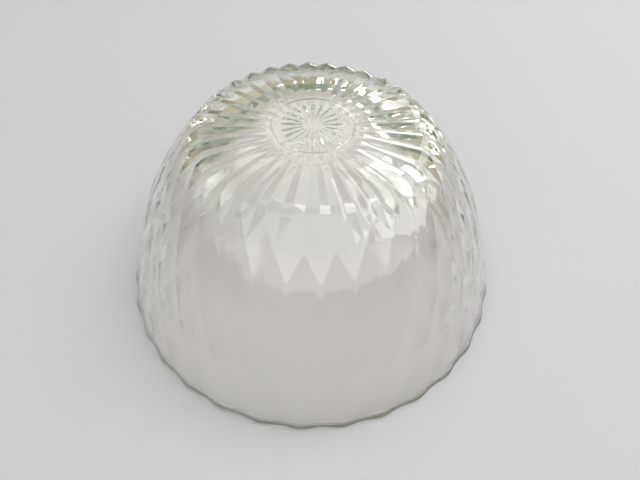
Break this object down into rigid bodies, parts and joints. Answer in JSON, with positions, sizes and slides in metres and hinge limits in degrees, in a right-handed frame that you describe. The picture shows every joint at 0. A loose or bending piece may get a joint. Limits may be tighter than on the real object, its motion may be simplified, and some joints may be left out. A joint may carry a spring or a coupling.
{
  "type": "serving bowl",
  "caption": "Deep pressed-glass serving bowl with a diamond-cut wall, fluted base, star foot and scalloped rim, stored upside down on its rim.",
  "frame": {"origin": "centre of the rim's plane, on the bowl's axis, where the upside-down bowl meets the table", "axes": "+Z along the bowl's axis from the rim to the foot, so the bowl is stored upside down; turn it over about X or Y for use"},
  "size_m": [0.2298, 0.2298, 0.11],
  "materials": {
    "clear_glass": "fire-polished clear glass with a faint grey-green tint where it is thick"
  },
  "bodies": {
    "root": {"bowl": "clear_glass"}
  },
  "joints": []
}
